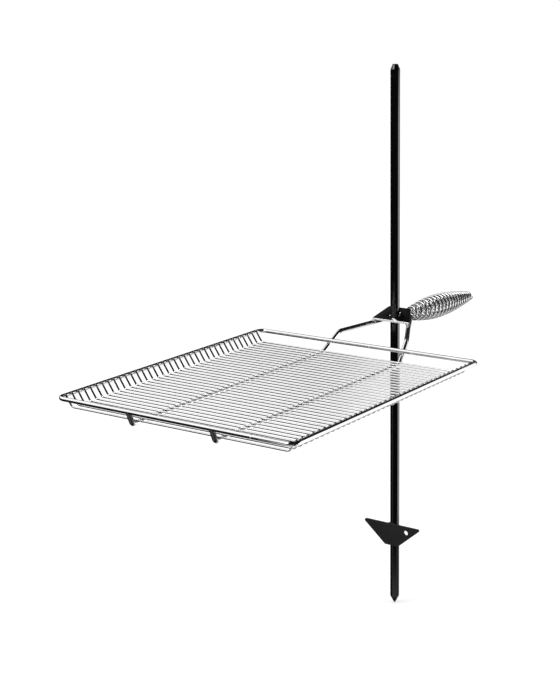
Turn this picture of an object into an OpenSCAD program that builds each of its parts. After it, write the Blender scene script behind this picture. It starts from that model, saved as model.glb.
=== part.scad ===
// Campfire stake grill: a wire grate on two bent rods that slides and turns on a ground stake.
// Origin on the stake's axis at ground level. +X along the grid wires, +Y towards the handle, +Z up.

/* [Stake] */
// Diameter of the round stake
stake_d = 12; // [10:0.5:16]
// Length of the stake above ground
stake_above = 592; // [500:1:900]
// Length of the stake below ground, with its point
stake_below = 120; // [90:1:200]
// Length of the pointed end
point_len = 10; // [6:0.5:20]
// Diameter of the blunt end of the point
point_d = 2; // [1:0.5:4]
// Height of the bevel at the top of the stake
crown_h = 6; // [2:0.5:8]
// Width of that bevel, measured inwards
crown_w = 2.7; // [1:0.1:4]

/* [Fin] */
// Width of the fin's top edge, before its corners are rounded
fin_w = 90; // [60:1:120]
// Width of the fin's lower edge
fin_foot_w = 20; // [16:1:40]
// Height of the fin
fin_h = 30; // [20:1:60]
// Thickness of the fin's sheet
fin_t = 3; // [2:0.5:5]
// Radius of the fin's corners
fin_corner_r = 2; // [0.5:0.25:4]
// Depth of the fin's top edge below ground
fin_cover = 6; // [0:1:20]
// Diameter of the tether hole in the fin
tether_d = 6.5; // [4:0.5:8]
// Distance of the tether hole from the stake's axis
tether_x = 22; // [16:0.5:25]
// Depth of the tether hole below the fin's top edge
tether_drop = 8.5; // [7:0.5:10]

/* [Grate] */
// Length of the grate along its wires, between rim centres
grate_l = 319; // [220:1:420]
// Depth of the grate across its wires, between rim centres
grate_w = 380; // [280:1:480]
// Diameter of the rim rod
rim_d = 5.2; // [4:0.1:8]
// Radius of the rim's corners, on the rod's centre line
rim_corner_r = 9; // [7:0.5:14]
// Height of the rim above ground, as photographed
rim_height = 251; // [180:1:400]
// Distance from the stake's axis to the near side of the rim
rim_offset = 74; // [60:1:120]
// Depth of the wires below the rim
tray_depth = 11; // [8:0.5:20]
// Number of grid wires
wire_count = 37; // [20:1:44]
// Diameter of a grid wire
wire_d = 2.2; // [1.5:0.1:3]
// Slope of the wires' turned-up ends
wire_slope = 56; // [40:1:75]
// Length of a wire's tip past the middle of the rim's side
wire_tip = 0.5; // [0:0.5:4]
// Radius of the bends in a wire
wire_bend_r = 4; // [2.5:0.5:6]

/* [Arms] */
// Diameter of the two carrying rods
arm_d = 6; // [5:0.1:8]
// Distance of each rod from the middle of the grate
arm_x = 56.5; // [40:1:90]
// Lean of the front hooks, from flat
hook_lean = 68; // [50:1:85]
// Radius of the bend at the foot of a hook
hook_bend_r = 5; // [4:0.5:8]
// Distance of the elbow's side from the grate's middle
elbow_x = 50; // [34:1:80]
// Distance of the elbow from the stake's axis
elbow_y = 55; // [30:1:60]
// Height of the elbow above the rim
elbow_z = 8; // [2:0.5:14]
// Radius of a rod's bends behind the grate
arm_bend_r = 14; // [8:0.5:16]
// Radius of the rods' bend into the handle
neck_bend_r = 14; // [10:1:20]

/* [Bracket] */
// Thickness of the bracket plate
plate_t = 3; // [2:0.5:5]
// Slope of the plate, its handle side up
plate_slope = 29; // [15:1:35]
// Distance of the plate's front edge from the stake's axis, along the plate
plate_front = 12.6; // [12:0.2:20]
// Distance of the plate's rear edge from the stake's axis, along the plate
plate_rear = 13.8; // [12:0.2:24]
// Width of the plate's front edge
plate_front_w = 56; // [48:1:70]
// Width of the plate's rear edge
plate_rear_w = 32; // [26:1:44]
// Radius of the plate's corners
plate_corner_r = 1; // [0.5:0.25:2]
// Height of the plate above the rim, on the stake's axis
plate_z = 24.5; // [22:0.5:34]
// Clearance between the stake and the plate's hole at the tilt
grip_gap = 0.3; // [0.2:0.05:0.6]

/* [Handle] */
// Distance of the handle's start from the stake's axis
handle_y = 40; // [38:0.5:50]
// Height of the handle's start above the rim
handle_z = 18.7; // [16:0.1:24]
// Dip of the handle towards its end
handle_dip = 2; // [0:0.1:6]
// Length of the wound handle
handle_len = 157; // [110:1:180]
// Widest diameter of the wound handle
handle_d = 32; // [26:0.5:38]
// Diameter of the handle at its end
handle_tip_d = 12.6; // [10:0.2:16]
// Share of the handle's length where it is widest
handle_belly = 0.4; // [0.3:0.01:0.6]
// Diameter of the handle's spring wire
coil_d = 3; // [2:0.1:3.6]
// Number of turns in the handle
coil_turns = 19; // [12:1:22]
// Share by which the first turns are wider apart than the mean
coil_open = 0.27; // [0:0.01:0.3]
// Distance from the rods' ends to the end of the handle
core_stop = 48; // [40:1:90]
// Distance from that bend to the handle's first turn
neck_lead = 5; // [4:0.5:10]

/* [Fits] */
// Gap that a weld fills between two pieces
weld_gap = 0.1; // [0.05:0.05:0.3]
// Clearance of the spring round the rods
coil_gap = 0.3; // [0.1:0.05:0.5]

/* [Hidden] */
$fn = 48;
tube_sides = 6;
rings_per_turn = 8;
corner_steps = 6;
// A straight run reaches this far into a bend, whose rod is thicker by the step
lap = 0.1;
lap_step = 0.03;
eps = 0.01;
steel_black = [0.10, 0.10, 0.11];
chrome = [0.80, 0.80, 0.82];

half_l = grate_l / 2;
rim_back_y = -rim_offset;
rim_front_y = rim_back_y - grate_w;
wire_z = -tray_depth;
wire_seat = (rim_d + wire_d) / 2 + weld_gap;
wire_corner_x = half_l - wire_seat / sin(wire_slope) - tray_depth / tan(wire_slope);
wire_rise = tray_depth / sin(wire_slope) + wire_seat / tan(wire_slope) + wire_tip;

arm_r = arm_d / 2;
arm_z = wire_z - (wire_d + arm_d) / 2 - weld_gap;
hook_end = rim_d / 2 + weld_gap;
// The rise of a rod touches the back of the rim on its way to the elbow
rise_y = rim_offset - elbow_y;
rise_reach = (rim_d + arm_d) / 2 + weld_gap;
rise_slope = atan2(elbow_z, rise_y) + asin(rise_reach / norm([rise_y, elbow_z]));
foot_y = -elbow_y - (elbow_z - arm_z) / tan(rise_slope);
// The first wire lies where a hook's bend ends, and the last one where the bend of a rise begins
wire_front = hook_bend_r * tan(hook_lean / 2) - arm_z / tan(hook_lean);
wire_rear = rim_back_y - foot_y + arm_bend_r * tan(rise_slope / 2);
wire_pitch = (grate_w - wire_front - wire_rear) / (wire_count - 1);

plate_edge_y = plate_front * cos(plate_slope) - plate_t / 2 * sin(plate_slope);
plate_edge_z = plate_z - plate_front * sin(plate_slope) - plate_t / 2 * cos(plate_slope);
hole_d = (stake_d + 2 * grip_gap + plate_t * sin(plate_slope)) / cos(plate_slope);
core_x = arm_r + coil_gap / 2;
neck_x = (plate_front_w - arm_d) / 2 + 1;
handle_axis = [0, cos(handle_dip), -sin(handle_dip)];
core_start = [core_x, handle_y, handle_z] - neck_lead * handle_axis;
core_end = [core_x, handle_y, handle_z] + (handle_len - core_stop) * handle_axis;
coil_start_r = core_x + arm_r + coil_gap + coil_d / 2;
coil_belly_r = (handle_d - coil_d) / 2;
coil_tip_r = (handle_tip_d - coil_d) / 2;

function wire_name(i) = str("grid_wire_", i < 10 ? "0" : "", i);

// Path of the right-hand rod, from the front hook to the end inside the handle
arm_path = [
    [arm_x, rim_front_y + hook_end * cos(hook_lean), -hook_end * sin(hook_lean)],
    [arm_x, rim_front_y - arm_z / tan(hook_lean), arm_z],
    [arm_x, foot_y, arm_z],
    [elbow_x, -elbow_y, elbow_z],
    [neck_x, -plate_edge_y, plate_edge_z - arm_r - weld_gap],
    core_start,
    core_end];
arm_radii = [0, hook_bend_r, arm_bend_r, arm_bend_r, neck_bend_r, neck_bend_r, 0];

function unit(v) = v / norm(v);
function turn(a, b) = acos(max(-1, min(1, a * b)));
function back_off(path, radii, i) =
    i == 0 || i == len(path) - 1 ? 0 :
    radii[i] * tan(turn(unit(path[i] - path[i - 1]), unit(path[i + 1] - path[i])) / 2) - lap;

// Spring wire: radius and place of its centre line at a share s of the winding
function coil_y(s) = handle_len * ((1 + coil_open) * s - coil_open * s * s);
function coil_r(t) = t < handle_belly ?
    coil_start_r + (coil_belly_r - coil_start_r) * sin(90 * t / handle_belly) :
    coil_tip_r + (coil_belly_r - coil_tip_r) * cos(90 * (t - handle_belly) / (1 - handle_belly));
function coil_point(s) =
    let (t = coil_y(s) / handle_len, a = 360 * coil_turns * s)
    [coil_r(t) * cos(a), coil_y(s), coil_r(t) * sin(a)];
coil_steps = coil_turns * rings_per_turn;
coil_inner = [for (k = [0:coil_steps]) coil_point(k / coil_steps)];
coil_lead = unit(coil_inner[0] - coil_inner[1]);
coil_tail = unit(coil_inner[coil_steps] - coil_inner[coil_steps - 1]);
coil_line = concat([coil_inner[0] + coil_d * coil_lead], coil_inner,
    [coil_inner[coil_steps] + coil_d * coil_tail]);
function coil_heading(k) =
    unit(coil_line[min(k + 1, len(coil_line) - 1)] - coil_line[max(k - 1, 0)]);
function coil_ring(k) =
    let (h = coil_heading(k), side = unit(cross(h, [0, 1, 0])), up = cross(side, h))
    [for (j = [0:tube_sides - 1]) coil_line[k] + coil_d / 2
        * (cos(360 * j / tube_sides) * side + sin(360 * j / tube_sides) * up)];
coil_rings = [for (k = [0:len(coil_line) - 1]) coil_ring(k)];

// A round rod along a path of points, with a bend of its own radius at each inner point
module bent_rod(path, radii, d) {
    for (i = [0:len(path) - 2]) {
        u = unit(path[i + 1] - path[i]);
        a = path[i] + u * back_off(path, radii, i);
        b = path[i + 1] - u * back_off(path, radii, i + 1);
        along(a, u) cylinder(h = norm(b - a), d = d);
    }
    for (i = [1:len(path) - 2])
        bend(path[i], unit(path[i] - path[i - 1]), unit(path[i + 1] - path[i]), radii[i], d);
}

// Turns +Z to the direction u and moves the origin to the point p
module along(p, u) {
    x = abs(u.z) < 0.9 ? unit(cross([0, 0, 1], u)) : unit(cross([0, 1, 0], u));
    y = cross(u, x);
    multmatrix([[x.x, y.x, u.x, p.x], [x.y, y.y, u.y, p.y], [x.z, y.z, u.z, p.z]])
        children();
}

// A bend at the corner p, from the direction u to the direction v
module bend(p, u, v, r, d) {
    a = turn(u, v);
    c = p + unit(v - u) * r / cos(a / 2);
    x = unit(p - u * r * tan(a / 2) - c);
    z = cross(x, u);
    multmatrix([[x.x, u.x, z.x, c.x], [x.y, u.y, z.y, c.y], [x.z, u.z, z.z, c.z]])
        rotate_extrude(angle = a) translate([r, 0]) circle(d = d + lap_step);
}

module stake() {
    r = stake_d / 2;
    color(steel_black)
        rotate_extrude()
            polygon([[0, -stake_below], [point_d / 2, -stake_below], [r, point_len - stake_below],
                [r, stake_above - crown_h], [r - crown_w, stake_above], [0, stake_above]]);
}

// Corner points of a flat outline, each corner rounded to the radius r
function rounded(pts, r) = [for (i = [0:len(pts) - 1])
    let (p = pts[i], u = unit(p - pts[(i + len(pts) - 1) % len(pts)]),
        v = unit(pts[(i + 1) % len(pts)] - p), a = turn(u, v),
        c = p + unit(v - u) * r / cos(a / 2), s = p - u * r * tan(a / 2) - c)
    for (k = [0:corner_steps]) let (b = a * k / corner_steps)
        c + [s.x * cos(b) - s.y * sin(b), s.x * sin(b) + s.y * cos(b)]];

module fin() {
    color(steel_black)
        translate([0, -stake_d / 2 - weld_gap, -fin_cover])
            rotate([90, 0, 0])
                difference() {
                    linear_extrude(fin_t)
                        polygon(rounded([[-fin_foot_w / 2, -fin_h], [fin_foot_w / 2, -fin_h],
                            [fin_w / 2, 0], [-fin_w / 2, 0]], fin_corner_r));
                    translate([tether_x, -tether_drop, -eps])
                        cylinder(h = fin_t + 2 * eps, d = tether_d);
                }
}

// Lifts a piece of the grill to its height as photographed
module raised() {
    translate([0, 0, rim_height]) children();
}

module rim() {
    x = half_l - rim_corner_r;
    near = rim_back_y - rim_corner_r;
    far = rim_front_y + rim_corner_r;
    color(chrome)
        raised() {
            for (side = [-1, 1])
                translate([side * half_l, near + lap, 0])
                    rotate([90, 0, 0]) cylinder(h = near - far + 2 * lap, d = rim_d);
            for (y = [rim_back_y, rim_front_y])
                translate([-x - lap, y, 0])
                    rotate([0, 90, 0]) cylinder(h = 2 * (x + lap), d = rim_d);
            for (corner = [[x, near, 0], [-x, near, 90], [-x, far, 180], [x, far, 270]])
                translate([corner.x, corner.y, 0])
                    rotate([0, 0, corner.z])
                        rotate_extrude(angle = 90)
                            translate([rim_corner_r, 0]) circle(d = rim_d + lap_step);
        }
}

module grid_wire(i) {
    y = rim_front_y + wire_front + (i - 1) * wire_pitch;
    rise = wire_rise * [cos(wire_slope), 0, sin(wire_slope)];
    corner = [wire_corner_x, y, wire_z];
    other = [-wire_corner_x, y, wire_z];
    color(chrome)
        raised()
            bent_rod([other + [-rise.x, 0, rise.z], other, corner, corner + rise],
                [0, wire_bend_r, wire_bend_r, 0], wire_d);
}

module arm() {
    color(chrome)
        raised() bent_rod(arm_path, arm_radii, arm_d);
}

module left_arm() {
    mirror([1, 0, 0]) arm();
}

module right_arm() {
    arm();
}

module bracket_plate() {
    outline = [[-plate_front_w / 2, -plate_front], [plate_front_w / 2, -plate_front],
        [plate_rear_w / 2, plate_rear], [-plate_rear_w / 2, plate_rear]];
    color(steel_black)
        raised()
            translate([0, 0, plate_z])
                rotate([plate_slope, 0, 0])
                    difference() {
                        linear_extrude(plate_t, center = true)
                            polygon(rounded(outline, plate_corner_r));
                        cylinder(h = plate_t + 2 * eps, d = hole_d, center = true);
                    }
}

module spring_handle() {
    last = len(coil_rings) - 1;
    sides = [for (k = [0:last - 1], j = [0:tube_sides - 1])
        let (a = k * tube_sides + j, b = k * tube_sides + (j + 1) % tube_sides)
        each [[a, b, b + tube_sides], [a, b + tube_sides, a + tube_sides]]];
    caps = [for (j = [1:tube_sides - 2])
        each [[0, j + 1, j], [last * tube_sides, last * tube_sides + j, last * tube_sides + j + 1]]];
    color(chrome)
        raised()
            translate([0, handle_y, handle_z])
                rotate([-handle_dip, 0, 0])
                    polyhedron([for (ring = coil_rings) each ring], concat(sides, caps));
}

stake();
fin();
rim();
left_arm();
right_arm();
bracket_plate();
spring_handle();
for (i = [1:wire_count])
    grid_wire(i);
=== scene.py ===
import math

import bmesh
import bpy
from mathutils import Matrix, Vector, noise


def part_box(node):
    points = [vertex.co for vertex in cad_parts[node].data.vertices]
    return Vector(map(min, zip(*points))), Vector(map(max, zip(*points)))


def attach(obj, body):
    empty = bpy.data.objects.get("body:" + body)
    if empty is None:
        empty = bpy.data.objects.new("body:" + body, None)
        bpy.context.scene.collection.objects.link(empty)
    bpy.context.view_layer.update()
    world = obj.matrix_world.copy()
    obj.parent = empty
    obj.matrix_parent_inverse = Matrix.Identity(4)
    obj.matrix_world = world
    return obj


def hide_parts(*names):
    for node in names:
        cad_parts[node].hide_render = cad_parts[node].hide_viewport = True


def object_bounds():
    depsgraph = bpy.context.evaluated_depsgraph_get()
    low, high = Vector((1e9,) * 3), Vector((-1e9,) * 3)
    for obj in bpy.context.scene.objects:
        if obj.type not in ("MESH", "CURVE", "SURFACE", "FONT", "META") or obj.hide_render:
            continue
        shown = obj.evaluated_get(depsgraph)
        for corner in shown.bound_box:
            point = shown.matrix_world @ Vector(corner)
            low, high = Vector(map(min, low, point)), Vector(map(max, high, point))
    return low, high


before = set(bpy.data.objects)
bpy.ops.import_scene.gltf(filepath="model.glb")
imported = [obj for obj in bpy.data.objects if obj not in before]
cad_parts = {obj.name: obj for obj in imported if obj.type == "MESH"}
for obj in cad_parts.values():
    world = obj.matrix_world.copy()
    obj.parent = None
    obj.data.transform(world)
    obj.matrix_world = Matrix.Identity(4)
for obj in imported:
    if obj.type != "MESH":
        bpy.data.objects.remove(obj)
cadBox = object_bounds()
mm = 0.001  # the pieces are sized in mm
print("frame loaded:", len(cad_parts), "nodes")


# ways to make a piece

def place(x, y, z):
    return Vector((x * mm, y * mm, z * mm))


def addObject(name, data):
    added = bpy.data.objects.new(name, data)
    bpy.context.scene.collection.objects.link(added)
    return added


def finishMesh(name, verts, faces, material, sharpAngle=38):
    mesh = bpy.data.meshes.new(name)
    mesh.from_pydata([tuple(v) for v in verts], [], faces)
    mesh.validate()
    shell = bmesh.new()
    shell.from_mesh(mesh)
    bmesh.ops.recalc_face_normals(shell, faces=shell.faces)
    shell.to_mesh(mesh)
    shell.free()
    mesh.shade_smooth()
    mesh.set_sharp_from_angle(angle=math.radians(sharpAngle))
    mesh.materials.append(material)
    return addObject(name, mesh)


def belong(piece, body, slotName, *nodes):
    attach(piece, body)
    if nodes:
        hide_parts(*nodes)


def roundedLine(points, radii, stepDegrees=6):
    # a line through the points, with an arc at each inner one
    line = [points[0].copy()]
    for i in range(1, len(points) - 1):
        u = (points[i] - points[i - 1]).normalized()
        v = (points[i + 1] - points[i]).normalized()
        turn = u.angle(v)
        start = points[i] - u * radii[i] * math.tan(turn / 2)
        centre = points[i] + (v - u).normalized() * radii[i] / math.cos(turn / 2)
        axis = u.cross(v).normalized()
        steps = max(3, round(math.degrees(turn) / stepDegrees))
        for k in range(steps + 1):
            line.append(centre + Matrix.Rotation(turn * k / steps, 3, axis) @ (start - centre))
    line.append(points[-1].copy())
    return line


def roundedOutline(corners, radius, steps=6):
    # a closed flat outline with rounded corners
    flat = []
    for i, p in enumerate(corners):
        p = Vector(p)
        u = (p - Vector(corners[i - 1])).normalized()
        v = (Vector(corners[(i + 1) % len(corners)]) - p).normalized()
        turn = u.angle(v)
        centre = p + (v - u).normalized() * radius / math.cos(turn / 2)
        start = p - u * radius * math.tan(turn / 2) - centre
        for k in range(steps + 1):
            b = turn * k / steps
            flat.append((centre.x + start.x * math.cos(b) - start.y * math.sin(b),
                         centre.y + start.x * math.sin(b) + start.y * math.cos(b)))
    return flat


def sweep(name, line, radius, material, sides, endBevel=0.0, closed=False):
    # radius is one number or one for each point; endBevel is a share of it, cut off open ends
    count = len(line)
    radii = radius if isinstance(radius, list) else [radius] * count
    if not closed:
        cut = endBevel * radii[0]
        head = (line[1] - line[0]).normalized()
        tail = (line[-1] - line[-2]).normalized()
        line = [line[0], line[0] + head * cut] + line[1:-1] + [line[-1] - tail * cut, line[-1]]
        radii = [radii[0] - cut, radii[0]] + radii[1:-1] + [radii[-1], radii[-1] - cut]
        count = len(line)
    headings = []
    for i in range(count):
        after = line[(i + 1) % count] if closed else line[min(i + 1, count - 1)]
        before = line[i - 1] if closed else line[max(i - 1, 0)]
        headings.append((after - before).normalized())
    side = headings[0].orthogonal().normalized()
    if closed:
        side = headings[0].cross(Vector((0, 0, 1))).normalized()
    verts = []
    for i in range(count):
        if i:
            side = headings[i - 1].rotation_difference(headings[i]) @ side
        side = (side - headings[i] * side.dot(headings[i])).normalized()
        up = headings[i].cross(side)
        for j in range(sides):
            a = 2 * math.pi * j / sides
            verts.append(line[i] + (side * math.cos(a) + up * math.sin(a)) * radii[i])
    faces = []
    for i in range(count if closed else count - 1):
        for j in range(sides):
            a, b = i * sides + j, i * sides + (j + 1) % sides
            c, d = (a + sides) % len(verts), (b + sides) % len(verts)
            faces.append((a, b, d, c))
    if not closed:
        faces.append(tuple(range(sides))[::-1])
        faces.append(tuple(range((count - 1) * sides, count * sides)))
    return finishMesh(name, verts, faces, material)


def turned(name, profile, material, sides):
    # profile runs from the lower end to the upper one, as radius and height in mm
    verts = [place(0, 0, profile[0][1])]
    for r, z in profile:
        for j in range(sides):
            a = 2 * math.pi * j / sides
            verts.append(place(r * math.cos(a), r * math.sin(a), z))
    verts.append(place(0, 0, profile[-1][1]))
    faces = []
    for j in range(sides):
        k = (j + 1) % sides
        faces.append((0, 1 + k, 1 + j))
        for i in range(len(profile) - 1):
            low, high = 1 + i * sides, 1 + (i + 1) * sides
            faces.append((low + j, low + k, high + k, high + j))
        top = 1 + (len(profile) - 1) * sides
        faces.append((top + j, top + k, len(verts) - 1))
    return finishMesh(name, verts, faces, material)


beadLumps = {"depth": 0.16, "scale": 1.7, "shift": 3.1, "subdivisions": 2}


def blobs(name, spots, material, seed):
    # one mesh of lumpy weld beads; a spot is a centre, three half sizes and a turn
    lumps = beadLumps
    mesh = bmesh.new()
    for number, (centre, halves, turn) in enumerate(spots):
        made = bmesh.ops.create_icosphere(mesh, subdivisions=lumps["subdivisions"], radius=1.0)
        shift = Vector((seed + number * lumps["shift"], 0, 0))
        for v in made["verts"]:
            lump = 1 + lumps["depth"] * noise.noise(v.co * lumps["scale"] + shift)
            size = Vector((v.co.x * halves[0], v.co.y * halves[1], v.co.z * halves[2]))
            v.co = turn @ (size * lump * mm) + centre
    data = bpy.data.meshes.new(name)
    mesh.to_mesh(data)
    mesh.free()
    data.shade_smooth()
    data.materials.append(material)
    return addObject(name, data)


sheetMesh = {"bevelSteps": 2, "sharpAngle": 30, "joinWithin": 0.00001}


def cutPlate(name, outline, hole, thickness, bevel, material):
    # a flat sheet in its own XY plane, with rounded edges; the hole is a centre, radius and sides
    curve = bpy.data.curves.new(name, "CURVE")
    curve.dimensions = "2D"
    curve.fill_mode = "BOTH"
    curve.extrude = (thickness / 2 - bevel) * mm
    curve.bevel_depth = bevel * mm
    curve.bevel_resolution = sheetMesh["bevelSteps"]
    curve.offset = -bevel * mm
    centre, radius, steps = hole
    ring = []
    for k in range(steps):
        a = -2 * math.pi * k / steps
        ring.append((centre[0] + radius * math.cos(a), centre[1] + radius * math.sin(a)))
    for line in (outline, ring):
        spline = curve.splines.new("POLY")
        spline.points.add(len(line) - 1)
        for point, (x, y) in zip(spline.points, line):
            point.co = (x * mm, y * mm, 0, 1)
        spline.use_cyclic_u = True
    shape = addObject(name + ".curve", curve)
    bpy.context.view_layer.update()
    solved = shape.evaluated_get(bpy.context.evaluated_depsgraph_get())
    flat = bpy.data.meshes.new_from_object(solved)
    verts = [v.co.copy() for v in flat.vertices]
    faces = [tuple(f.vertices) for f in flat.polygons]
    bpy.data.objects.remove(shape)
    bpy.data.meshes.remove(flat)
    piece = finishMesh(name, verts, faces, material, sheetMesh["sharpAngle"])
    joined = bmesh.new()
    joined.from_mesh(piece.data)
    bmesh.ops.remove_doubles(joined, verts=joined.verts, dist=sheetMesh["joinWithin"])
    bmesh.ops.recalc_face_normals(joined, faces=joined.faces)
    joined.to_mesh(piece.data)
    joined.free()
    return piece


# shader nodes: each helper adds its nodes and gives back the socket to read

def position(nodes, kind="Object"):
    return nodes.new("ShaderNodeTexCoord").outputs[kind]


def axesOf(nodes, links, source):
    split = nodes.new("ShaderNodeSeparateXYZ")
    links.new(source, split.inputs["Vector"])
    return split.outputs


def grainOf(nodes, links, scale, detail, stretch=(1, 1, 1)):
    fit = nodes.new("ShaderNodeMapping")
    fit.inputs["Scale"].default_value = stretch
    grain = nodes.new("ShaderNodeTexNoise")
    grain.inputs["Scale"].default_value = scale
    grain.inputs["Detail"].default_value = detail
    links.new(position(nodes), fit.inputs["Vector"])
    links.new(fit.outputs["Vector"], grain.inputs["Vector"])
    return grain.outputs["Fac"]


def rampOf(nodes, links, source, stops):
    ramp = nodes.new("ShaderNodeValToRGB")
    ends = ramp.color_ramp.elements
    for element, (where, colour) in ((ends[0], stops[0]), (ends[1], stops[-1])):
        element.position = where
        element.color = (*colour, 1)
    for where, colour in stops[1:-1]:
        ends.new(where).color = (*colour, 1)
    links.new(source, ramp.inputs["Fac"])
    return ramp.outputs["Color"]


def bumpOf(nodes, links, source, strength, distance, below=None):
    bump = nodes.new("ShaderNodeBump")
    bump.inputs["Strength"].default_value = strength
    bump.inputs["Distance"].default_value = distance
    links.new(source, bump.inputs["Height"])
    if below:
        links.new(below, bump.inputs["Normal"])
    return bump.outputs["Normal"]


def mapRange(nodes, links, source, fromMin, fromMax, toMin=0.0, toMax=1.0, soft=False):
    fit = nodes.new("ShaderNodeMapRange")
    if soft:
        fit.interpolation_type = "SMOOTHSTEP"
    fit.inputs["From Min"].default_value = fromMin
    fit.inputs["From Max"].default_value = fromMax
    fit.inputs["To Min"].default_value = toMin
    fit.inputs["To Max"].default_value = toMax
    links.new(source, fit.inputs["Value"])
    return fit.outputs["Result"]


noiseMiddle = (0.3, 0.7)  # where nearly all of a noise's values lie


def spread(nodes, links, grain, low, high):
    return mapRange(nodes, links, grain, *noiseMiddle, low, high)


def fade(nodes, links, source, edge0, edge1):
    # nothing before edge0, all of it past edge1
    return mapRange(nodes, links, source, edge0, edge1, soft=True)


def combine(nodes, links, operation, first, second=0.0):
    node = nodes.new("ShaderNodeMath")
    node.operation = operation
    for socket, value in zip(node.inputs, (first, second)):
        if isinstance(value, float):
            socket.default_value = value
        else:
            links.new(value, socket)
    return node.outputs[0]


def mixColour(nodes, links, factor, under, over):
    mix = nodes.new("ShaderNodeMix")
    mix.data_type = "RGBA"
    for socket, colour in ((mix.inputs["A"], under), (mix.inputs["B"], over)):
        if isinstance(colour, tuple):
            socket.default_value = (*colour, 1)
        else:
            links.new(colour, socket)
    links.new(factor, mix.inputs["Factor"])
    return mix.outputs["Result"]


# finishes

def blankFinish(name):
    material = bpy.data.materials.new(name)
    material.use_nodes = True
    nodes, links = material.node_tree.nodes, material.node_tree.links
    return material, nodes, links, nodes["Principled BSDF"]


# the one colour here is the near black painted on the hooks: partly weld heat tint, partly a
# painted dark reflection
platingGrain = {"cloud": (45, 5), "cloudStops": (0.3, 0.7), "fine": (900, 3), "slow": (70, 1),
                "waveDepth": 0.0006, "fineBump": (0.03, 0.0001),
                "tintAndDarkReflectionTone": (0.085, 0.085, 0.088), "tintAndDarkReflectionFade": 0.003}


def platedSteel(name, dull, bright, smooth, rough, wave, tintAndDarkReflectionFrom=None):
    # bright plated steel: faint clouding, fine drawing marks and a slow wave from the bending;
    # the last argument is the place along Y in front of which it is painted near black, partly weld
    # heat tint and partly a painted dark reflection
    g = platingGrain
    material, nodes, links, shader = blankFinish(name)
    shader.inputs["Metallic"].default_value = 1.0
    cloud = grainOf(nodes, links, *g["cloud"])
    colour = rampOf(nodes, links, cloud, list(zip(g["cloudStops"], (dull, bright))))
    # painted dark reflection, with some weld heat tint, on the part in front of that place
    if tintAndDarkReflectionFrom:
        along = axesOf(nodes, links, position(nodes))["Y"]
        tintAndDarkReflection = fade(nodes, links, along, tintAndDarkReflectionFrom, tintAndDarkReflectionFrom - g["tintAndDarkReflectionFade"])
        colour = mixColour(nodes, links, tintAndDarkReflection, colour, g["tintAndDarkReflectionTone"])
    links.new(colour, shader.inputs["Base Color"])
    fine = grainOf(nodes, links, *g["fine"])
    links.new(spread(nodes, links, fine, smooth, rough), shader.inputs["Roughness"])
    slow = grainOf(nodes, links, *g["slow"])
    waves = bumpOf(nodes, links, slow, wave, g["waveDepth"])
    links.new(bumpOf(nodes, links, fine, *g["fineBump"], waves), shader.inputs["Normal"])
    return material


coatGrain = {"patch": (26, 6, (1, 1, 0.35)), "patchStops": (0.35, 0.62, 0.8), "fine": (1100, 3),
             "peelDepth": 0.00025}


def blackCoat(name, deep, worn, smooth, rough, peel, ior=1.45):
    # black stove coating on steel: orange peel and dusty patches drawn out along Z
    g = coatGrain
    material, nodes, links, shader = blankFinish(name)
    patch = grainOf(nodes, links, *g["patch"])
    colour = rampOf(nodes, links, patch, list(zip(g["patchStops"], (deep, deep, worn))))
    links.new(colour, shader.inputs["Base Color"])
    links.new(spread(nodes, links, patch, smooth, rough), shader.inputs["Roughness"])
    fine = grainOf(nodes, links, *g["fine"])
    links.new(bumpOf(nodes, links, fine, peel, g["peelDepth"]), shader.inputs["Normal"])
    shader.inputs["IOR"].default_value = ior
    return material


# the plate's speckle, and where its painted highlights lie: along the front edge and in one
# slanting mark
bareEdgeAndGlintGrain = {"grain": (420, 6), "grainShare": 0.5, "frontFade": (0.0010, 0.0003),
            "sideFade": (1.3, 0.8), "headFade": (-0.0008, 0.0006), "tailFade": 0.0010,
            "bareAndGlintStops": (0.62, 0.80), "metal": 0.25, "smooth": 0.30, "rough": 0.46,
            "specular": 0.08, "bump": (0.12, 0.0002)}


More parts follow.
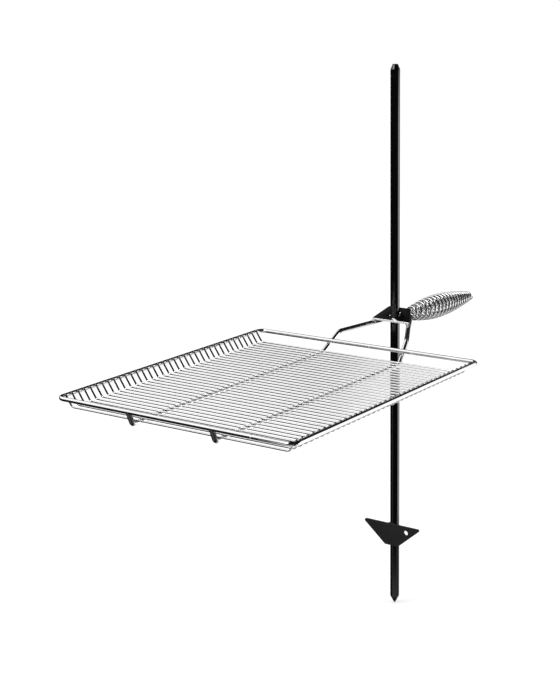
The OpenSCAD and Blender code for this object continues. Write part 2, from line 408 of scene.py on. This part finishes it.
def coatWithBareEdgeAndGlints(name, deep, bareAndGlintTone, frontEdge, mark):
    # black coating with painted highlights: the front edge is uncoated steel painted near white as
    # its highlight, and one slanting painted highlight runs from the hole to that edge; the mark is
    # two ends and a half width
    g = bareEdgeAndGlintGrain
    material, nodes, links, shader = blankFinish(name)
    here = position(nodes)
    axes = axesOf(nodes, links, here)
    grain = grainOf(nodes, links, *g["grain"])
    front = fade(nodes, links, axes["Y"], *[frontEdge + step for step in g["frontFade"]])
    head, tail, halfWidth = mark
    along = (Vector(tail) - Vector(head)).normalized()
    across = Vector((-along.y, along.x))
    side = nodes.new("ShaderNodeVectorMath")
    side.operation = "DOT_PRODUCT"
    side.inputs[1].default_value = (across.x, across.y, 0)
    links.new(here, side.inputs[0])
    off = combine(nodes, links, "SUBTRACT", side.outputs["Value"], across.dot(Vector(head)))
    off = combine(nodes, links, "ABSOLUTE", off)
    band = fade(nodes, links, off, *[halfWidth * share for share in g["sideFade"]])
    begin = fade(nodes, links, axes["X"], *[head[0] + step for step in g["headFade"]])
    end = fade(nodes, links, axes["X"], tail[0] + g["tailFade"], tail[0])
    reach = combine(nodes, links, "MULTIPLY", begin, end)
    # the front edge band and the slanting mark are painted highlights in a near white tone
    bareAndGlintShare = combine(nodes, links, "MAXIMUM", front, combine(nodes, links, "MULTIPLY", band, reach))
    speckle = combine(nodes, links, "MULTIPLY", grain, g["grainShare"])
    bareAndGlintShare = combine(nodes, links, "ADD", bareAndGlintShare, speckle)
    mask = rampOf(nodes, links, bareAndGlintShare, list(zip(g["bareAndGlintStops"], ((0, 0, 0), (1, 1, 1)))))
    links.new(mixColour(nodes, links, mask, deep, bareAndGlintTone), shader.inputs["Base Color"])
    links.new(combine(nodes, links, "MULTIPLY", mask, g["metal"]), shader.inputs["Metallic"])
    links.new(spread(nodes, links, grain, g["smooth"], g["rough"]), shader.inputs["Roughness"])
    shader.inputs["Specular IOR Level"].default_value = g["specular"]
    links.new(bumpOf(nodes, links, grain, *g["bump"]), shader.inputs["Normal"])
    return material


beadGrain = {"heat": (220, 5), "heatStops": (0.32, 0.68), "bump": (0.25, 0.0003)}


def weldSteel(name, cool, warm, smooth, rough):
    # the duller, mottled steel of a weld bead
    g = beadGrain
    material, nodes, links, shader = blankFinish(name)
    shader.inputs["Metallic"].default_value = 1.0
    heat = grainOf(nodes, links, *g["heat"])
    colour = rampOf(nodes, links, heat, list(zip(g["heatStops"], (cool, warm))))
    links.new(colour, shader.inputs["Base Color"])
    links.new(spread(nodes, links, heat, smooth, rough), shader.inputs["Roughness"])
    links.new(bumpOf(nodes, links, heat, *g["bump"]), shader.inputs["Normal"])
    return material


rimFinish = platedSteel("rimPlating", dull=(0.74, 0.74, 0.75), bright=(0.86, 0.86, 0.87),
                        smooth=0.02, rough=0.05, wave=0.05)
# the rods' hooks, in front of -0.446 m, are painted near black: a painted dark reflection with some
# weld heat tint
rodFinish = platedSteel("rodPlating", dull=(0.72, 0.72, 0.73), bright=(0.86, 0.86, 0.87),
                        smooth=0.05, rough=0.12, wave=0.10, tintAndDarkReflectionFrom=-0.446)
wireFinish = platedSteel("wirePlating", dull=(0.80, 0.80, 0.81), bright=(0.90, 0.90, 0.91),
                         smooth=0.03, rough=0.07, wave=0.03)
coilFinish = platedSteel("coilPlating", dull=(0.65, 0.65, 0.66), bright=(0.80, 0.80, 0.81),
                         smooth=0.04, rough=0.10, wave=0.05)
stakeFinish = blackCoat("stakeCoat", deep=(0.0022, 0.0022, 0.0025), worn=(0.008, 0.0078, 0.0075),
                        smooth=0.05, rough=0.09, peel=0.05, ior=1.6)
finFinish = blackCoat("finCoat", deep=(0.010, 0.010, 0.0105), worn=(0.024, 0.023, 0.022),
                      smooth=0.42, rough=0.58, peel=0.30)
beadFinish = weldSteel("weldBead", cool=(0.34, 0.34, 0.36), warm=(0.62, 0.60, 0.57),
                       smooth=0.22, rough=0.40)
scorchFinish = weldSteel("scorchedBead", cool=(0.11, 0.11, 0.115), warm=(0.27, 0.26, 0.25),
                         smooth=0.24, rough=0.42)
coatBeadFinish = blackCoat("coatedBead", deep=(0.008, 0.008, 0.0085), worn=(0.024, 0.023, 0.022),
                           smooth=0.30, rough=0.45, peel=0.25)
print("finishes made")

# stake
stakePiece = {"radius": 6.0, "top": 592.0, "foot": -120.0, "crownHeight": 6.0, "crownWidth": 2.7,
              "pointLength": 10.0, "pointRadius": 1.0, "sides": 64}


def stakeProfile(stake):
    # from the point up to the bevelled top; the small steps round the edges
    r, tip = stake["radius"], stake["pointRadius"]
    foot, shoulder = stake["foot"], stake["foot"] + stake["pointLength"]
    top, crown = stake["top"], stake["top"] - stake["crownHeight"]
    inner = r - stake["crownWidth"]
    return [(tip * 0.6, foot), (tip, foot + 0.25), (tip + 0.3, foot + 0.8),  # blunted point
            (r - 0.35, shoulder - 0.9), (r - 0.06, shoulder + 0.1), (r, shoulder + 1.2),
            (r, crown - 0.6), (r - 0.08, crown), (r - 0.45, crown + 0.6),  # foot of the bevel
            (inner + 0.25, top - 0.5), (inner - 0.1, top - 0.1), (inner - 0.5, top)]


stakeBar = turned("stake_bar", stakeProfile(stakePiece), stakeFinish, stakePiece["sides"])
belong(stakeBar, "stake", "stake_coat", "stake")
print("stake made")

# fin
finPiece = {"topWidth": 90.0, "footWidth": 20.0, "height": 30.0, "thickness": 3.0, "corner": 2.0,
            "top": -6.0, "hole": (22.0, -8.5), "holeRadius": 3.25, "holeSides": 40,
            "bevel": 0.35, "weldGap": 0.1,
            "seam": {"x": 3.1, "y": -5.6, "aboveFoot": 4.0, "belowTop": 1.5, "width": 1.5,
                     "ripples": 11},
            "topBeads": [((-3.6, -6.3, 0.1), (2.6, 1.6, 1.1)),
                         ((2.4, -6.2, -0.3), (2.2, 1.4, 0.8))],
            "beadSeed": 4.0}


def makeFin(fin):
    foot, top = fin["footWidth"] / 2, fin["topWidth"] / 2
    corners = [(-foot, -fin["height"]), (foot, -fin["height"]), (top, 0), (-top, 0)]
    piece = cutPlate("fin_sheet", roundedOutline(corners, fin["corner"]),
                     (fin["hole"], fin["holeRadius"], fin["holeSides"]), fin["thickness"],
                     fin["bevel"], finFinish)
    middle = stakePiece["radius"] + fin["weldGap"] + fin["thickness"] / 2
    stand = Matrix.Translation(place(0, -middle, fin["top"])) @ Matrix.Rotation(math.pi / 2, 4, "X")
    piece.data.transform(stand)
    belong(piece, "anchor", "fin_coat", "fin")


makeFin(finPiece)

ripple = {"steps": 6, "depth": 0.16, "taperRate": 6, "tipShare": 0.35, "sides": 12, "endBevel": 0.5}


def rippled(name, start, end, width, ripples, material):
    # a drawn weld bead between two points, with its ripples and thinner ends
    steps = ripples * ripple["steps"]
    line, radii = [], []
    for k in range(steps + 1):
        t = k / steps
        line.append(start.lerp(end, t))
        taper = min(1, ripple["taperRate"] * t + ripple["tipShare"],
                    ripple["taperRate"] * (1 - t) + ripple["tipShare"])
        dent = 1 - ripple["depth"] * abs(math.sin(math.pi * ripples * t))
        radii.append(width * mm * taper * dent)
    return sweep(name, line, radii, material, ripple["sides"], ripple["endBevel"])


def finWelds(fin):
    seam = fin["seam"]
    low, high = fin["top"] - fin["height"] + seam["aboveFoot"], fin["top"] - seam["belowTop"]
    for name, side in (("fin_weld_left", -1), ("fin_weld_right", 1)):
        x, y = side * seam["x"], seam["y"]
        bead = rippled(name, place(x, y, low), place(x, y, high), seam["width"], seam["ripples"],
                       coatBeadFinish)
        belong(bead, "anchor", "fin_coat")
    tops = [(place(x, y, fin["top"] + z), halves, Matrix.Identity(3))
            for (x, y, z), halves in fin["topBeads"]]
    belong(blobs("fin_weld_top", tops, coatBeadFinish, fin["beadSeed"]), "anchor", "fin_coat")


finWelds(finPiece)
print("fin made")

# rim
rimPiece = {"halfLength": 159.5, "near": -74.0, "far": -454.0, "radius": 2.6, "corner": 9.0,
            "cornerSteps": 10, "height": 251.0, "sides": 24, "frontSeamX": 107.0, "backSeamX": 8.0,
            "collar": {"half": 1.6, "rise": 0.18, "sunk": 0.05, "swell": 0.7, "steps": 12,
                       "endBevel": 0.05}}


def makeRim(rim):
    x, near, far = rim["halfLength"], rim["near"], rim["far"]
    flat = roundedOutline([(x, near), (-x, near), (-x, far), (x, far)], rim["corner"],
                          rim["cornerSteps"])
    line = [place(px, py, rim["height"]) for px, py in flat]
    piece = sweep("rim_rod", line, rim["radius"] * mm, rimFinish, rim["sides"], closed=True)
    belong(piece, "grill", "rod_plate", "rim")


makeRim(rimPiece)


def rimSeam(name, x, y, rim):
    # the low collar where the rim rod's two ends are butt welded
    collar = rim["collar"]
    line, radii = [], []
    for k in range(collar["steps"] + 1):
        t = k / collar["steps"]
        line.append(place(x - collar["half"] + 2 * collar["half"] * t, y, rim["height"]))
        swell = math.sin(math.pi * t) ** collar["swell"]
        radii.append((rim["radius"] - collar["sunk"] + collar["rise"] * swell) * mm)
    piece = sweep(name, line, radii, rimFinish, rim["sides"], collar["endBevel"])
    belong(piece, "grill", "rod_plate")


rimSeam("rim_seam_front", rimPiece["frontSeamX"], rimPiece["far"], rimPiece)
rimSeam("rim_seam_back", rimPiece["backSeamX"], rimPiece["near"], rimPiece)
print("rim made")

# grid wires
wirePiece = {"count": 37, "radius": 1.1, "depth": 11.0, "slope": 56.0, "tip": 0.5, "bend": 4.0,
             "weldGap": 0.1, "sides": 14, "endBevel": 0.3,
             "spot": (1.2, 1.1, 0.35), "spotLift": 0.05, "spotSeed": 10.0}


def wireShape(wire, rim):
    # where a wire turns up, and how far its end then goes out and up
    slope = math.radians(wire["slope"])
    seat = rim["radius"] + wire["radius"] + wire["weldGap"]
    cornerX = rim["halfLength"] - seat / math.sin(slope) - wire["depth"] / math.tan(slope)
    rise = wire["depth"] / math.sin(slope) + seat / math.tan(slope) + wire["tip"]
    return cornerX, rise * math.cos(slope), rise * math.sin(slope)


def wireY(i):
    low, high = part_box("grid_wire_%02d" % (i + 1))
    return (low.y + high.y) / 2 / mm


def makeWire(i, wire, rim):
    cornerX, outward, upward = wireShape(wire, rim)
    y, z, bend = wireY(i), rim["height"] - wire["depth"], wire["bend"] * mm
    points = [place(-cornerX - outward, y, z + upward), place(-cornerX, y, z),
              place(cornerX, y, z), place(cornerX + outward, y, z + upward)]
    piece = sweep("wire_%02d" % (i + 1), roundedLine(points, [0, bend, bend, 0]),
                  wire["radius"] * mm, wireFinish, wire["sides"], wire["endBevel"])
    belong(piece, "grill", "wire_plate", "grid_wire_%02d" % (i + 1))


for i in range(wirePiece["count"]):
    makeWire(i, wirePiece, rimPiece)


def rimWelds(wire, rim):
    # one flattened spot where each wire end is pressed into the rim
    slope, reach = math.radians(wire["slope"]), rim["radius"] + wire["spotLift"]
    x, z = rim["halfLength"] - reach * math.sin(slope), rim["height"] + reach * math.cos(slope)
    for name, side in (("rim_welds_left", -1), ("rim_welds_right", 1)):
        turn = Matrix.Rotation(-side * slope, 3, "Y")
        spots = [(place(side * x, wireY(i), z), wire["spot"], turn) for i in range(wire["count"])]
        belong(blobs(name, spots, scorchFinish, wire["spotSeed"] + side), "grill", "wire_plate")


rimWelds(wirePiece, rimPiece)
print("grid wires made")

# carrying rods; they run under the plate and into the handle, so those two are sized here
rodPiece = {"radius": 3.0, "x": 56.5, "hookLean": 68.0, "hookEnd": 2.7, "hookBend": 5.0,
            "elbow": (50.0, -55.0, 8.0), "bend": 14.0, "drop": 15.2, "weldGap": 0.1,
            "neckOut": 1, "sides": 24, "endBevel": 0.15, "stepDegrees": 4,
            "crossBead": (1.3, 1.4, 0.35),
            "hookBeads": [((0, -1.2, -1.9), (2.9, 1.1, 1.1)), ((1.9, 0.4, -3.0), (1.4, 1.7, 1.0)),
                          ((-1.9, 0.4, -3.0), (1.4, 1.7, 1.0)), ((0, 3.0, -1.8), (2.4, 1.2, 1.0))],
            "neckBeads": [((1.2, -0.7, 0.1), (3.1, 1.2, 1.2), 0.0),
                          ((3.4, 3.0, 0.4), (1.2, 3.2, 1.1), 0.5)],
            "crossSeed": 31.0, "hookSeed": 47.0, "neckSeed": 59.0}
# the plate's slanting mark and its near white tone paint highlights on the coat, at that mark and
# along the front edge
platePiece = {"thickness": 3.0, "slope": 29.0, "front": 12.6, "rear": 13.8, "frontWidth": 56.0,
              "rearWidth": 32.0, "corner": 1.0, "height": 24.5, "gripGap": 0.3, "bevel": 0.35,
              "holeSides": 64, "glintMark": ((0.5, -7.8), (9.0, -12.6), 1.3),
              "coat": (0.0018, 0.0018, 0.002), "bareAndGlintTone": (0.93, 0.92, 0.91)}
handlePiece = {"y": 40.0, "z": 18.7, "dip": 2.0, "length": 157.0, "widest": 32.0, "tip": 12.6,
               "belly": 0.4, "wire": 3.0, "turns": 19, "open": 0.27, "coreStop": 48.0,
               "lead": 5.0, "gap": 0.3, "sides": 16, "endBevel": 0.25, "stepsPerTurn": 36}


def plateEdge(plate):
    # the lower front edge of the tilted plate
    slope = math.radians(plate["slope"])
    front, half = plate["front"], plate["thickness"] / 2
    y = front * math.cos(slope) - half * math.sin(slope)
    z = plate["height"] - front * math.sin(slope) - half * math.cos(slope)
    return -y, z


def neckX(rod, plate):
    # how far out a rod passes under the plate's front corner
    return (plate["frontWidth"] - 2 * rod["radius"]) / 2 + rod["neckOut"]


def footY(rod, rim):
    # the rise touches the back of the rim on its way to the elbow
    back, lift = rod["elbow"][1] - rim["near"], rod["elbow"][2]
    reach = rim["radius"] + rod["radius"] + rod["weldGap"]
    slope = math.atan2(lift, back) + math.asin(reach / math.hypot(back, lift))
    return rod["elbow"][1] - (lift + rod["drop"]) / math.tan(slope)


def makeRod(name, side, node, rod, plate, handle, rim):
    lean, dip = math.radians(rod["hookLean"]), math.radians(handle["dip"])
    base, far, elbow = rim["height"], rim["far"], rod["elbow"]
    edgeY, edgeZ = plateEdge(plate)
    forward = Vector((0, math.cos(dip), -math.sin(dip)))
    entry = place(rod["radius"] + handle["gap"] / 2, handle["y"], base + handle["z"])
    points = [place(rod["x"], far + rod["hookEnd"] * math.cos(lean),
                    base - rod["hookEnd"] * math.sin(lean)),
              place(rod["x"], far + rod["drop"] / math.tan(lean), base - rod["drop"]),
              place(rod["x"], footY(rod, rim), base - rod["drop"]),
              place(elbow[0], elbow[1], base + elbow[2]),
              place(neckX(rod, plate), edgeY, base + edgeZ - rod["radius"] - rod["weldGap"]),
              entry - forward * handle["lead"] * mm,
              entry + forward * (handle["length"] - handle["coreStop"]) * mm]
    for point in points:
        point.x *= side
    hook, bend = rod["hookBend"] * mm, rod["bend"] * mm
    line = roundedLine(points, [0, hook, bend, bend, bend, bend, 0], rod["stepDegrees"])
    piece = sweep(name, line, rod["radius"] * mm, rodFinish, rod["sides"], rod["endBevel"])
    belong(piece, "grill", "rod_plate", node)


makeRod("rod_left", -1, "left_arm", rodPiece, platePiece, handlePiece, rimPiece)
makeRod("rod_right", 1, "right_arm", rodPiece, platePiece, handlePiece, rimPiece)


def rodWelds(rod, wire, rim, plate):
    # a spot under each wire, beads round each hook, and two at each corner of the plate
    base, under = rim["height"], rim["height"] - wire["depth"] - wire["radius"]
    edgeY, edgeZ = plateEdge(plate)
    lean = Matrix.Rotation(-math.radians(rod["hookLean"]) / 6, 3, "X")  # a little, with the hook
    crossings, hooks, necks = [], [], []
    for side in (-1, 1):
        for i in range(wire["count"]):
            centre = place(side * rod["x"], wireY(i), under)
            crossings.append((centre, rod["crossBead"], Matrix.Identity(3)))
        for (x, y, z), halves in rod["hookBeads"]:
            hooks.append((place(side * rod["x"] + x, rim["far"] + y, base + z), halves, lean))
        for (x, y, z), halves, turn in rod["neckBeads"]:
            centre = place(side * (neckX(rod, plate) - x), edgeY + y, base + edgeZ + z)
            necks.append((centre, halves, Matrix.Rotation(side * turn, 3, "Z")))
    belong(blobs("rod_welds", crossings, beadFinish, rod["crossSeed"]), "grill", "wire_plate")
    belong(blobs("hook_welds", hooks, scorchFinish, rod["hookSeed"]), "grill", "rod_plate")
    belong(blobs("neck_welds", necks, beadFinish, rod["neckSeed"]), "grill", "rod_plate")


rodWelds(rodPiece, wirePiece, rimPiece, platePiece)
print("carrying rods made")


# bracket plate

def makePlate(plate, rim):
    slope = math.radians(plate["slope"])
    front, rear = plate["frontWidth"] / 2, plate["rearWidth"] / 2
    corners = [(-front, -plate["front"]), (front, -plate["front"]),
               (rear, plate["rear"]), (-rear, plate["rear"])]
    # the hole is as wide as the tilted plate needs on the upright stake
    across = (2 * stakePiece["radius"] + 2 * plate["gripGap"]
              + plate["thickness"] * math.sin(slope))
    hole = across / math.cos(slope) / 2
    # the coat gets painted highlights: a near white band along the front edge and one slanting
    # streak from the hole
    (x0, y0), (x1, y1), halfWidth = plate["glintMark"]
    finish = coatWithBareEdgeAndGlints("plateCoat", plate["coat"], plate["bareAndGlintTone"], -plate["front"] * mm,
                        ((x0 * mm, y0 * mm), (x1 * mm, y1 * mm), halfWidth * mm))
    piece = cutPlate("grip_plate", roundedOutline(corners, plate["corner"]),
                     ((0, 0), hole, plate["holeSides"]), plate["thickness"], plate["bevel"], finish)
    piece.matrix_world = (Matrix.Translation(place(0, 0, rim["height"] + plate["height"]))
                          @ Matrix.Rotation(slope, 4, "X"))
    belong(piece, "grill", "bracket_coat", "bracket_plate")


makePlate(platePiece, rimPiece)
print("bracket plate made")


# spring handle

def coilRadius(t, handle, rod):
    # from the rods out to the belly, then in to the tip
    start = rod["radius"] * 2 + handle["gap"] * 1.5 + handle["wire"] / 2
    belly, tip = (handle["widest"] - handle["wire"]) / 2, (handle["tip"] - handle["wire"]) / 2
    turn = handle["belly"]
    if t < turn:
        return start + (belly - start) * math.sin(math.pi / 2 * t / turn)
    return tip + (belly - tip) * math.cos(math.pi / 2 * (t - turn) / (1 - turn))


def makeCoil(handle, rod, rim):
    line, steps = [], handle["turns"] * handle["stepsPerTurn"]
    for k in range(steps + 1):
        s = k / steps
        y = handle["length"] * ((1 + handle["open"]) * s - handle["open"] * s * s)
        radius, a = coilRadius(y / handle["length"], handle, rod), math.tau * handle["turns"] * s
        line.append(place(radius * math.cos(a), y, radius * math.sin(a)))
    piece = sweep("coil_grip", line, handle["wire"] / 2 * mm, coilFinish, handle["sides"],
                  handle["endBevel"])
    tilt = Matrix.Translation(place(0, handle["y"], rim["height"] + handle["z"]))
    piece.data.transform(tilt @ Matrix.Rotation(-math.radians(handle["dip"]), 4, "X"))
    belong(piece, "grill", "spring_plate", "spring_handle")


makeCoil(handlePiece, rodPiece, rimPiece)
print("spring handle made")

# camera at the photograph's view: 35.8 degrees to the side and 14.1 degrees down
cameraPlace = {"location": (0.97601, -1.60586, 0.70296), "side": 35.81, "down": 14.11,
               "roll": -1.04, "lens": 77.14, "sensor": 36.0, "clip": (0.05, 50)}


def makeCamera(view):
    data = bpy.data.cameras.new("camera")
    data.lens, data.sensor_width = view["lens"], view["sensor"]
    data.clip_start, data.clip_end = view["clip"]
    camera = addObject("camera", data)
    turn = (Matrix.Rotation(math.radians(view["side"]), 4, "Z")
            @ Matrix.Rotation(math.radians(90 - view["down"]), 4, "X")
            @ Matrix.Rotation(math.radians(view["roll"]), 4, "Z"))
    camera.matrix_world = Matrix.Translation(Vector(view["location"])) @ turn
    bpy.context.scene.camera = camera


makeCamera(cameraPlace)

# light, floor and surroundings; the floor's lift grows with the distance from the stake
studio = {"floorTone": 0.8, "floorLift": (0.34, 0.45), "liftReach": (0.6, 3.2), "floorHalf": 9,
          "floorGap": 0.0005, "fill": 0.75, "roomTone": 0.012, "aim": (0, -0.1, 0.2),
          "lamps": [{"name": "keyLamp", "from": (-1.1, -1.6, 2.4), "power": 26.0, "size": 1.4},
                    {"name": "sideLamp", "from": (1.9, 0.6, 1.2), "power": 9.0, "size": 0.8}]}

# what the metal mirrors; an edge is an axis, where a screen's light begins and where it is full
screens = [
    {"power": 1.25, "edges": [("X", -0.54, -0.57), ("Z", 0.16, 0.28), ("Y", 0.52, 0.40)]},
    {"power": 1.25, "edges": [("X", -0.28, -0.38), ("Z", 0.16, 0.28), ("Y", 0.42, 0.32)]},
    {"power": 1.25, "edges": [("X", -0.24, -0.12), ("Y", 0.66, 0.74), ("Y", 0.92, 0.87),
                              ("Z", 0.50, 0.40)]},
    {"power": 1.2, "edges": [("X", 0.72, 0.82), ("Y", -0.12, -0.04), ("Y", 0.20, 0.12),
                             ("Z", -0.34, -0.44)]},
    {"power": 3.4, "edges": [("X", 0.60, 0.66), ("Y", 0.27, 0.32), ("Z", 0.06, -0.02),
                             ("Z", -0.39, -0.355)]},
    {"power": 1.5, "edges": [("X", 0.10, 0.16), ("Y", 0.27, 0.32), ("Z", 0.06, -0.02),
                             ("Z", -0.39, -0.355)]},
    {"power": 1.2, "edges": [("X", -0.50, -0.42), ("Z", -0.50, -0.60), ("Y", 0.10, 0.22)]},
    {"power": 0.7, "edges": [("X", -0.535, -0.495), ("X", -0.36, -0.40), ("Y", 0.72, 0.64),
                             ("Z", -0.20, -0.28)]},
    {"power": 0.6, "edges": [("X", -0.44, -0.36), ("Y", -0.34, -0.44), ("Z", -0.40, -0.46)]},
    {"power": 6.0, "edges": [("X", -0.06, -0.14), ("X", -0.51, -0.47), ("Y", -0.42, -0.50),
                             ("Z", 0.44, 0.49)]},
]


def emptyTree(owner):
    owner.use_nodes = True
    owner.node_tree.nodes.clear()
    return owner.node_tree.nodes, owner.node_tree.links


def makeFloor(s):
    half, low = s["floorHalf"], cadBox[0].z - s["floorGap"]
    corners = [(-half, -half, low), (half, -half, low), (half, half, low), (-half, half, low)]
    mesh = bpy.data.meshes.new("floor")
    mesh.from_pydata(corners, [], [(0, 1, 2, 3)])
    floor = addObject("floor", mesh)
    material = bpy.data.materials.new("paleFloor")
    nodes, links = emptyTree(material)
    matt = nodes.new("ShaderNodeBsdfDiffuse")
    matt.inputs["Color"].default_value = (s["floorTone"],) * 3 + (1,)
    reach = nodes.new("ShaderNodeVectorMath")
    reach.operation = "LENGTH"
    links.new(position(nodes), reach.inputs[0])
    lift = mapRange(nodes, links, reach.outputs["Value"], *s["liftReach"], *s["floorLift"])
    seen = nodes.new("ShaderNodeLightPath").outputs["Is Camera Ray"]
    glow = nodes.new("ShaderNodeEmission")
    links.new(combine(nodes, links, "MULTIPLY", lift, seen), glow.inputs["Strength"])
    both = nodes.new("ShaderNodeAddShader")
    links.new(matt.outputs[0], both.inputs[0])
    links.new(glow.outputs[0], both.inputs[1])
    out = nodes.new("ShaderNodeOutputMaterial")
    links.new(both.outputs[0], out.inputs["Surface"])
    mesh.materials.append(material)
    floor.visible_glossy = False


def skyNode(nodes, strength):
    sky = nodes.new("ShaderNodeBackground")
    sky.inputs["Color"].default_value = (1, 1, 1, 1)
    sky.inputs["Strength"].default_value = strength
    return sky


def mixShaders(nodes, links, factor, first, second):
    mix = nodes.new("ShaderNodeMixShader")
    links.new(factor, mix.inputs["Fac"])
    links.new(first.outputs[0], mix.inputs[1])
    links.new(second.outputs[0], mix.inputs[2])
    return mix


def makeWorld(s):
    # white where the camera looks and a soft fill for matt surfaces; metal sees the screens,
    # with a dark room between them
    world = bpy.data.worlds.new("studio")
    bpy.context.scene.world = world
    nodes, links = emptyTree(world)
    path = nodes.new("ShaderNodeLightPath")
    axes = axesOf(nodes, links, position(nodes, "Generated"))
    total = s["roomTone"]
    for screen in screens:
        patch = screen["power"]
        for axis, edge0, edge1 in screen["edges"]:
            side = fade(nodes, links, axes[axis], edge0, edge1)
            patch = combine(nodes, links, "MULTIPLY", side, patch)
        total = combine(nodes, links, "MAXIMUM", patch, total)
    room, soft, white = skyNode(nodes, 1.0), skyNode(nodes, s["fill"]), skyNode(nodes, 1.0)
    links.new(total, room.inputs["Strength"])
    mirrored = mixShaders(nodes, links, path.outputs["Is Glossy Ray"], soft, room)
    shown = mixShaders(nodes, links, path.outputs["Is Camera Ray"], mirrored, white)
    out = nodes.new("ShaderNodeOutputWorld")
    links.new(shown.outputs[0], out.inputs["Surface"])


def makeLamp(light, target):
    data = bpy.data.lights.new(light["name"], "AREA")
    data.energy, data.size = light["power"], light["size"]
    lamp = addObject(light["name"], data)
    lamp.location = light["from"]
    aim = Vector(target) - Vector(light["from"])
    lamp.rotation_euler = aim.to_track_quat("-Z", "Y").to_euler()
    lamp.visible_glossy = False


makeFloor(studio)
makeWorld(studio)
for light in studio["lamps"]:
    makeLamp(light, studio["aim"])
bpy.context.scene.view_settings.view_transform = "Standard"
print("studio made")
